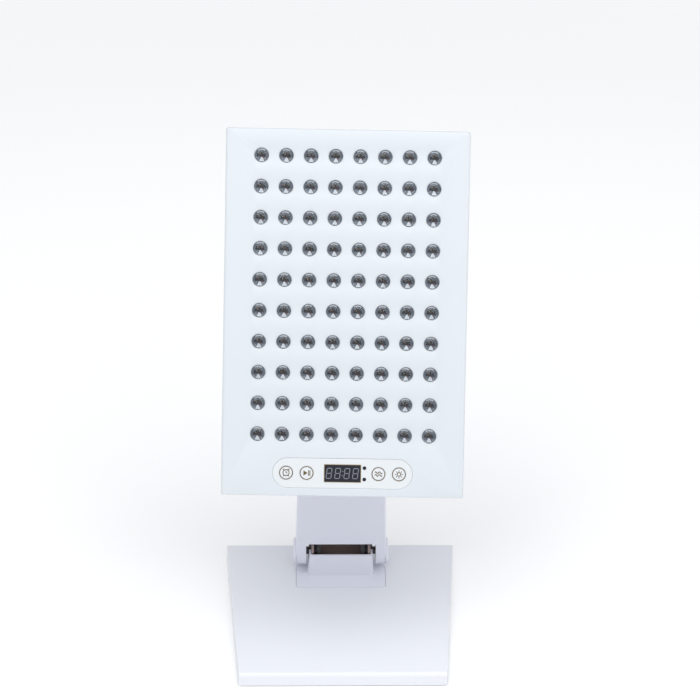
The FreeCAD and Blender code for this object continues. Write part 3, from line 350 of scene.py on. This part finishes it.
def lens_field():
    domes, cells, packages, glints, red, amber, flanges = [], [], [], [], [], [], []
    for x, y in lens_places():
        form = bmesh.new()
        outlines = [circle(LENS_RADIUS * 0.86, x, y, 28), circle(LENS_RADIUS * 0.86, x, y, 28)]
        levels = [LENS_BACK, FRONT - 1.6]
        for step in range(8):
            turn = math.pi / 2 * step / 8
            outlines.append(circle(LENS_RADIUS * math.cos(turn), x, y, 28))
            levels.append(FRONT - 1.4 + (LENS_PROUD + 1.4) * math.sin(turn))
        skin(form, outlines, levels, close_low=True, close_high=True)
        domes.append(from_bmesh("dome", form, smooth=50))
        floor = circle(LENS_RADIUS * 0.84, x, y, 24)
        cells.append(plate("cell", floor, LENS_BACK - 0.7, LENS_BACK - 0.02))
        low, high = LENS_BACK - 0.6, LENS_BACK - 0.01
        dark_form = [(x + across, y + up) for across, up in PACKAGE]
        packages.append(plate("package", dark_form, low, high))
        # Painted reflections: a pale trapezoid below the package and a pale crescent above it take the place
        # of the lens's reflections
        foot = [(x - 1.7, y - 4.3), (x + 1.8, y - 4.3), (x + 0.75, y - 1.5), (x - 0.55, y - 1.5)]
        glints.append(plate("glint", foot, low, high + 0.003))
        crescent = circle(4.4, x, y, 10, math.radians(55), math.radians(70))
        crescent += [(px, y + (py - y) * 0.83) for px, py in reversed(crescent)]
        glints.append(plate("glint", crescent, low, high + 0.003))
        red.append(plate("die", rounded(0.5, 0.5, 0.1, x + 1.1, y - 1.6, 2), low, high + 0.005))
        amber.append(plate("die", rounded(0.4, 0.4, 0.1, x - 1.0, y + 0.6, 2), low, high + 0.005))
        rim = bmesh.new()
        outside, inside = circle(HOLE_RADIUS - 0.03, x, y, 32), circle(LENS_RADIUS * 0.9, x, y, 32)
        foot_level, top_level = FRONT - 2.3, FRONT - 1.5
        levels = [foot_level, foot_level, top_level, top_level, foot_level]
        skin(rim, [inside, outside, outside, inside, inside], levels)
        flanges.append(from_bmesh("flange", rim))
    field, clear = merged("lens_domes", domes), FINISH["clear_lens"]
    add_piece("lens_domes", field, "panel", clear, replaces=["lens_array"])
    add_piece("lens_cells", merged("lens_cells", cells), "panel", CELL_GREY)
    add_piece("lens_glints", merged("lens_glints", glints), "panel", PAINTED_GLINT_WHITE)
    add_piece("led_packages", merged("led_packages", packages), "panel", CELL_DARK)
    add_piece("led_dies_red", merged("led_dies_red", red), "panel", DIE_RED)
    add_piece("led_dies_amber", merged("led_dies_amber", amber), "panel", DIE_AMBER)
    add_piece("lens_flanges", merged("lens_flanges", flanges), "panel", RIM_WHITE)


lens_field()


# Control strip: film with full-round ends, four printed key spots, a display and two lights

def control_strip():
    form = bmesh.new()
    outline = pill(STRIP_LENGTH, STRIP_HEIGHT, 0, -STRIP_DROP)
    holes = [circle(KEY_RADIUS + 0.12, x, -STRIP_DROP, 32) for x in KEYS.values()]
    window = rounded(DISPLAY_WIDTH / 2 + 0.05, DISPLAY_HEIGHT / 2 + 0.05, 0.8, 0, -STRIP_DROP, 3)
    for side in (1, -1):
        reach = INDICATOR_RADIUS + 0.08
        holes.append(circle(reach, INDICATOR_PLACE, -STRIP_DROP + side * INDICATOR_SPREAD, 20))
    holes.append(window)
    low, high = STRIP_TOP - 0.5, STRIP_TOP
    for level in (low, high):
        flat_sheet(form, outline, holes, level)
    for loop in [outline] + holes:
        skin(form, [loop, loop], [low, high])
    mesh = from_bmesh("touch_strip", form)
    film = FINISH["strip_film"]
    add_piece("touch_strip", mesh, "panel", film, replaces=["control_strip"])


control_strip()


def stroke(points, width, closed=False):
    """A printed line of even width along the points, as a thin ribbon."""
    form = bmesh.new()
    count = len(points)
    left, right = [], []
    for step, (x, y) in enumerate(points):
        if closed:
            before, after = points[step - 1], points[(step + 1) % count]
        else:
            before, after = points[max(step - 1, 0)], points[min(step + 1, count - 1)]
        along = Vector((after[0] - before[0], after[1] - before[1])).normalized()
        across = Vector((-along.y, along.x)) * width / 2
        left.append((x + across.x, y + across.y))
        right.append((x - across.x, y - across.y))
    levels = (KEY_TOP - 0.05, KEY_TOP + 0.03)
    rows = [ring_of(form, line, level) for level in levels for line in (left, right)]
    spans = range(count if closed else count - 1)
    for step in spans:
        after = (step + 1) % count
        for first, second in ((0, 1), (1, 3), (3, 2), (2, 0)):
            one, other = rows[first], rows[second]
            form.faces.new((one[step], one[after], other[after], other[step]))
    if not closed:
        for step in (0, count - 1):
            form.faces.new((rows[0][step], rows[1][step], rows[3][step], rows[2][step]))
    return from_bmesh("stroke", form)


def filled(points):
    return plate("filled", points, KEY_TOP - 0.05, KEY_TOP + 0.03)


LINE = 0.75


def timer_icon(x, y):
    """A round clock with two bells and feet."""
    return [
        stroke(circle(2.5, x, y, 28), LINE, closed=True),
        stroke([(x, y + 1.5), (x, y), (x + 1.1, y - 0.4)], LINE),
        stroke(circle(3.5, x, y, 6, math.radians(38), math.radians(30)), LINE),
        stroke(circle(3.5, x, y, 6, math.radians(112), math.radians(30)), LINE),
        stroke([(x - 1.7, y - 2.2), (x - 2.4, y - 3.0)], LINE),
        stroke([(x + 1.7, y - 2.2), (x + 2.4, y - 3.0)], LINE),
    ]


def start_icon(x, y):
    """A triangle beside a bar, for start and pause."""
    triangle = [(x - 2.6, y - 2.2), (x - 2.6, y + 2.2), (x + 0.9, y)]
    return [
        filled(triangle),
        stroke([(x + 1.7, y - 2.3), (x + 1.7, y + 2.3)], LINE),
        stroke([(x + 2.8, y - 2.3), (x + 2.8, y + 2.3)], LINE),
    ]


def mode_icon(x, y):
    """Two wave lines, a plain sign for the choice of light."""
    waves = []
    for rise in (1.1, -1.1):
        along = [step / 16 for step in range(17)]
        wave = [(x - 3.0 + 6.0 * t, y + rise + 0.8 * math.sin(t * 4 * math.pi)) for t in along]
        waves.append(stroke(wave, LINE))
    return waves


def light_icon(x, y):
    """A sun: a small circle with eight rays."""
    pieces = [stroke(circle(1.5, x, y, 20), LINE, closed=True)]
    for step in range(8):
        turn = math.pi / 4 * step
        start = (x + 2.3 * math.cos(turn), y + 2.3 * math.sin(turn))
        end = (x + 3.3 * math.cos(turn), y + 3.3 * math.sin(turn))
        pieces.append(stroke([start, end], LINE))
    return pieces


ICONS = {"timer": timer_icon, "start": start_icon, "mode": mode_icon, "light": light_icon}


def keys():
    for name, x in KEYS.items():
        y = -STRIP_DROP
        low = KEY_TOP - 2.0
        disc = plate(name + "_spot", circle(KEY_RADIUS, x, y, 48), low, KEY_TOP, edge=0.08)
        body = name + "_button"
        film = FINISH["strip_film"]
        add_piece(name + "_spot", disc, body, film, replaces=[name + "_key"])
        lines = [stroke(circle(5.3, x, y, 48), LINE, closed=True)] + ICONS[name](x, y)
        add_piece(name + "_print", merged(name + "_print", lines), body, INK)


keys()


def seven_segment(x, y, width, height):
    """All seven bars of one digit, unlit, with the slant of such displays."""
    thick, gap, lean = 0.62, 0.16, 0.12
    half_x, half_y = width / 2, height / 2
    bars = []

    def bar(start, end):
        along = (Vector(end) - Vector(start)).normalized()
        across = Vector((-along.y, along.x)) * thick / 2
        first, last = Vector(start) + along * gap, Vector(end) - along * gap
        tip = along * thick / 2
        lower, upper = (first + tip - across, last - tip - across), (last - tip + across, first + tip + across)
        outline = [first, *lower, last, *upper]
        bars.append([(point.x + point.y * lean + x, point.y + y) for point in outline])

    for level in (half_y, 0.0, -half_y):
        bar((-half_x, level), (half_x, level))
    for side in (half_x, -half_x):
        bar((side, 0.0), (side, half_y))
        bar((side, -half_y), (side, 0.0))
    return bars


def display():
    y = -STRIP_DROP
    half_x, half_y = DISPLAY_WIDTH / 2, DISPLAY_HEIGHT / 2
    glass = rounded(half_x - 0.45, half_y - 0.45, 0.7, 0, y, 3)
    window = plate("display_window", glass, STRIP_TOP - 1.6, STRIP_TOP - 0.02)
    add_piece("display_window", window, "panel", FINISH["display_black"])
    form = bmesh.new()
    outside = rounded(half_x, half_y, 0.8, 0, y, 3)
    inside = rounded(half_x - 0.42, half_y - 0.42, 0.7, 0, y, 3)
    low, high = STRIP_TOP - 1.5, STRIP_TOP + 0.06
    skin(form, [inside, outside, outside, inside, inside], [low, low, high, high, low])
    add_piece("display_edge", from_bmesh("display_edge", form), "panel", GOLD_LINE)
    meshes = []
    low, high = STRIP_TOP - 0.3, STRIP_TOP + 0.005
    for x in (-11.1, -4.0, 3.6, 10.7):
        for bar in seven_segment(x, y, 4.1, 8.4):
            meshes.append(plate("bar", bar, low, high))
    for rise in (1.8, -1.8):
        meshes.append(plate("dot", circle(0.45, rise * 0.12, y + rise, 12), low, high))
    add_piece("display_segments", merged("display_segments", meshes), "panel", SEGMENT)


display()


def indicator_lights():
    lenses = []
    for side in (1, -1):
        outline = circle(INDICATOR_RADIUS, INDICATOR_PLACE, -STRIP_DROP + side * INDICATOR_SPREAD, 28)
        lenses.append(plate("light", outline, STRIP_TOP - 2.0, STRIP_TOP + 0.05, edge=0.25))
    mesh = merged("indicator_domes", lenses)
    dark = FINISH["light_lens"]
    add_piece("indicator_domes", mesh, "panel", dark, replaces=["indicator_lights"])


indicator_lights()


# CAD nodes take the finish of their slot; their sharp edges get a fine rounding

DARK_STEEL = surface("dark_steel", (0.075, 0.07, 0.072), 0.3, metallic=0.9, grain=0.1, variation=0.05)
DARK_PARTS = ("base_lock_nuts", "base_hinge_shafts")
SLOT_OF = {part["node"]: part["material_slot"] for part in frame["record"]["subparts"]}
SOFT_EDGE = {
    "arm_front_shell": 0.35, "arm_rear_cover": 0.2, "base_hinge_cover": 0.18,
    "base_hinge_caps": 0.25, "head_hinge_caps": 0.25, "base_hinge_shafts": 0.3,
    "base_lock_nuts": 0.3, "base_friction_washers": 0.12, "power_rocker": 0.3,
    "mains_inlet": 0.25, "rocker_frame": 0.25, "rear_cover_screws": 0.15, "arm_cover_screws": 0.15,
}
for node, piece in frame["nodes"].items():
    piece.data.materials.clear()
    piece.data.materials.append(DARK_STEEL if node in DARK_PARTS else FINISH[SLOT_OF[node]])
    if node in SOFT_EDGE:
        rounding = piece.modifiers.new("edge", "BEVEL")
        rounding.width = SOFT_EDGE[node] * MM
        rounding.segments = 2
        rounding.limit_method = "ANGLE"
        rounding.angle_limit = math.radians(40)
        rounding.harden_normals = True


# Stage: a pale floor that keeps the shadow, a white world and soft light

def floor_finish():
    """White and matt near the lamp, where it keeps the shadow, and plain white far off."""
    material = surface("floor_white", (0.99, 0.99, 0.99), 0.9)
    nodes, links = material.node_tree.nodes, material.node_tree.links
    place, reach = nodes.new("ShaderNodeTexCoord"), nodes.new("ShaderNodeVectorMath")
    reach.operation = "LENGTH"
    fade = nodes.new("ShaderNodeMapRange")
    fade.interpolation_type = "SMOOTHSTEP"
    fade.inputs["From Min"].default_value, fade.inputs["From Max"].default_value = 0.8, 2.0
    glow, blend = nodes.new("ShaderNodeEmission"), nodes.new("ShaderNodeMixShader")
    links.new(place.outputs["Object"], reach.inputs[0])
    links.new(reach.outputs["Value"], fade.inputs["Value"])
    links.new(fade.outputs["Result"], blend.inputs[0])
    links.new(nodes["Principled BSDF"].outputs[0], blend.inputs[1])
    links.new(glow.outputs[0], blend.inputs[2])
    links.new(blend.outputs[0], nodes["Material Output"].inputs["Surface"])
    return material


def build_stage():
    floor_mesh = bpy.data.meshes.new("floor")
    reach = 40.0
    corners = [(-reach, -reach, 0), (reach, -reach, 0), (reach, reach, 0), (-reach, reach, 0)]
    floor_mesh.from_pydata(corners, [], [(0, 1, 2, 3)])
    floor = bpy.data.objects.new("floor", floor_mesh)
    bpy.context.scene.collection.objects.link(floor)
    floor_mesh.materials.append(floor_finish())
    for name, place, aim, side, power in (
        ("key", (-0.9, -1.0, 2.4), (0, 0, 0.1), 1.8, 27.0),
        ("fill", (1.5, -0.9, 1.3), (0, 0, 0.2), 1.6, 4.0),
        ("top", (0.8, -1.0, 2.5), (0, 0, 0.1), 2.0, 27.0),
    ):
        light = bpy.data.lights.new(name, "AREA")
        light.shape, light.size, light.energy = "SQUARE", side, power
        lamp = bpy.data.objects.new(name, light)
        lamp.location = place
        lamp.rotation_euler = (Vector(aim) - Vector(place)).to_track_quat("-Z", "Y").to_euler()
        bpy.context.scene.collection.objects.link(lamp)
    world = bpy.data.worlds.new("studio")
    bpy.context.scene.world = world
    world.use_nodes = True
    nodes, links = world.node_tree.nodes, world.node_tree.links
    lit = nodes["Background"]
    lit.inputs["Color"].default_value = (0.95, 0.97, 1.0, 1.0)
    lit.inputs["Strength"].default_value = 0.60
    seen = nodes.new("ShaderNodeBackground")
    seen.inputs["Color"].default_value = (1.0, 1.0, 1.0, 1.0)
    seen.inputs["Strength"].default_value = 1.0
    path, mix = nodes.new("ShaderNodeLightPath"), nodes.new("ShaderNodeMixShader")
    links.new(path.outputs["Is Camera Ray"], mix.inputs[0])
    links.new(lit.outputs[0], mix.inputs[1])
    links.new(seen.outputs[0], mix.inputs[2])
    links.new(mix.outputs[0], nodes["World Output"].inputs["Surface"])
    bpy.context.scene.view_settings.view_transform = "Standard"


build_stage()


# Camera: fitted to the photograph's corners, lens centres, arm and base

def build_camera():
    azimuth, elevation, roll = math.radians(-1.51), math.radians(33.754), math.radians(0.804)
    distance, focal = 2.275, 140.35
    aim = Vector((4.539, 10.5, 280.758)) * MM
    level = math.cos(elevation)
    back = Vector((math.sin(azimuth) * level, -math.cos(azimuth) * level, math.sin(elevation)))
    right = Vector((math.cos(azimuth), math.sin(azimuth), 0))
    up = back.cross(right)
    turned_right = math.cos(roll) * right + math.sin(roll) * up
    turned_up = -math.sin(roll) * right + math.cos(roll) * up
    camera = bpy.data.objects.new("camera", bpy.data.cameras.new("camera"))
    camera.data.lens, camera.data.sensor_width = focal, 36.0
    camera.data.clip_start, camera.data.clip_end = 0.05, 100.0
    place = Matrix((turned_right, turned_up, back)).transposed().to_4x4()
    place.translation = aim + back * distance
    camera.matrix_world = place
    bpy.context.scene.collection.objects.link(camera)
    bpy.context.scene.camera = camera


build_camera()
